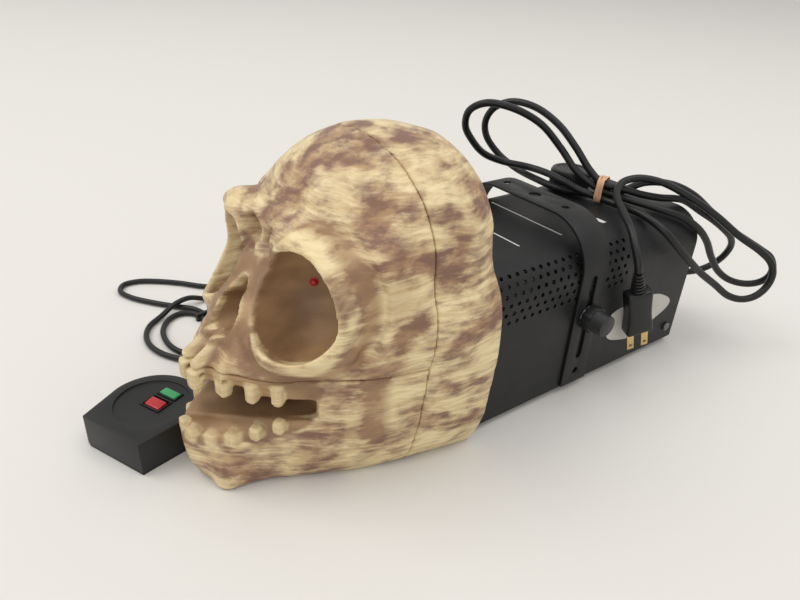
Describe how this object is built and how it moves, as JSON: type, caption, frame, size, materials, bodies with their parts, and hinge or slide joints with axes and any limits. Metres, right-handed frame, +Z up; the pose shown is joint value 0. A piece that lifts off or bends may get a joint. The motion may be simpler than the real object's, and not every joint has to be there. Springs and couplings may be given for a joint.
{
  "type": "fog machine",
  "caption": "Compact fog machine with a hollow moulded skull on its front, a slotted hanging bracket with clamp knobs, a fluid tank, a banded mains lead and a wired remote",
  "frame": {"origin": "on the floor, under the middle of the box round everything but the free cords and what is on them", "axes": "+Z up; the skull faces -Y; the rear panel with its cords faces +Y; +X is the side with the plug"},
  "size_m": [0.4123, 0.5666, 0.22],
  "materials": {
    "case_paint": "fine-textured black powder coat",
    "skull_resin": "antiqued cream resin with brushed brown streaks, soft sheen",
    "foot_rubber": "matt",
    "screw_steel": "dark zinc plated",
    "plate_steel": "zinc plated",
    "black_plastic": "satin black moulding",
    "red_lens": "translucent red",
    "green_lens": "translucent green",
    "tank_plastic": "milky polyethylene",
    "brass": "plain",
    "heater_aluminium": "cast",
    "insulation": "glass-fibre blanket",
    "silicone": "clear tube",
    "board_green": "glass-epoxy board with parts",
    "cord_black": "smooth jacket",
    "band_tan": "dusty rubber band"
  },
  "bodies": {
    "machine": {"top_cover": "case_paint", "base_tray": "case_paint", "front_panel": "case_paint", "rear_panel": "case_paint", "foot_front_left": "foot_rubber", "foot_front_right": "foot_rubber", "foot_rear_left": "foot_rubber", "foot_rear_right": "foot_rubber", "cover_screw_left": "screw_steel", "cover_screw_right": "screw_steel", "skull_face_shell": "skull_resin", "skull_jaw_shell": "skull_resin", "skull_rear_shell": "skull_resin", "skull_mount_plate": "plate_steel", "fog_duct": "black_plastic", "eye_led_left": "red_lens", "eye_led_right": "red_lens", "mouth_led": "green_lens", "fluid_tank": "tank_plastic", "pump_body": "plate_steel", "pump_bracket": "plate_steel", "pickup_filter": "brass", "suction_tube": "silicone", "heater_block": "heater_aluminium", "heater_insulation": "insulation", "heater_bracket_front": "plate_steel", "heater_bracket_rear": "plate_steel", "fog_nozzle": "brass", "control_thermostat": "plate_steel", "limit_thermostat": "plate_steel", "pressure_tube": "brass", "circuit_board": "board_green", "terminal_block": "black_plastic", "cord_gland": "cord_black", "remote_socket": "black_plastic", "remote_connector": "black_plastic", "fuse_holder": "black_plastic", "remote_case": "black_plastic", "remote_base": "black_plastic", "rocker_bezel": "black_plastic", "lamp_bezel": "black_plastic", "lamp_lens": "green_lens", "remote_gland": "cord_black", "mains_cord": "cord_black", "rubber_band": "band_tan", "plug_body": "cord_black", "plug_blade_front": "brass", "plug_blade_rear": "brass", "remote_cable": "cord_black", "cable_tie": "black_plastic"},
    "bracket_pivot": {"knob_washer_left": "plate_steel", "knob_washer_right": "plate_steel"},
    "bracket": {"hanging_bracket": "case_paint"},
    "left_knob": {"clamp_knob_left": "black_plastic"},
    "right_knob": {"clamp_knob_right": "black_plastic"},
    "seal": {"cap_seal": "foot_rubber"},
    "cap": {"tank_cap": "black_plastic"},
    "plunger": {"pump_plunger": "brass"},
    "rocker": {"rocker_switch": "red_lens"},
    "fuse": {"fuse_cap": "black_plastic"}
  },
  "joints": [
    {"name": "bracket_tilt", "type": "hinge", "parent": "machine", "child": "bracket_pivot", "pos_m": [0, 0.08825, 0.071], "axis": [1, 0, 0], "range_deg": [-20, 20]},
    {"name": "bracket_height", "type": "slide", "parent": "bracket_pivot", "child": "bracket", "axis": [0, 0, 1], "range_m": [0, 0.036]},
    {"name": "left_knob_turn", "type": "hinge", "parent": "machine", "child": "left_knob", "pos_m": [-0.08, 0.08825, 0.071], "axis": [-1, 0, 0], "range_deg": [-720, 0]},
    {"name": "right_knob_turn", "type": "hinge", "parent": "machine", "child": "right_knob", "pos_m": [0.08, 0.08825, 0.071], "axis": [1, 0, 0], "range_deg": [-720, 0]},
    {"name": "cap_lift", "type": "slide", "parent": "machine", "child": "seal", "axis": [0, 0, 1], "range_m": [0, 0.006]},
    {"name": "cap_turn", "type": "hinge", "parent": "seal", "child": "cap", "pos_m": [-0.035, 0.17275, 0.14], "axis": [0, 0, 1], "range_deg": [0, 540]},
    {"name": "pump_stroke", "type": "slide", "parent": "machine", "child": "plunger", "axis": [0, -1, 0], "range_m": [0, 0.003], "stiffness_N_per_m": 400},
    {"name": "rocker_press", "type": "hinge", "parent": "machine", "child": "rocker", "pos_m": [-0.055, -0.2122, 0.0204], "axis": [-0.9121, -0.41, 0], "range_deg": [0, 13.7], "stiffness_Nm_per_rad": 0.03},
    {"name": "fuse_cap_turn", "type": "hinge", "parent": "machine", "child": "fuse", "pos_m": [0, 0.23575, 0.04], "axis": [0, 1, 0], "range_deg": [-90, 0]}
  ],
  "couplings": [
    {"joint": "cap_turn", "follows": "cap_lift", "rad_per_m": 1570.8}
  ]
}
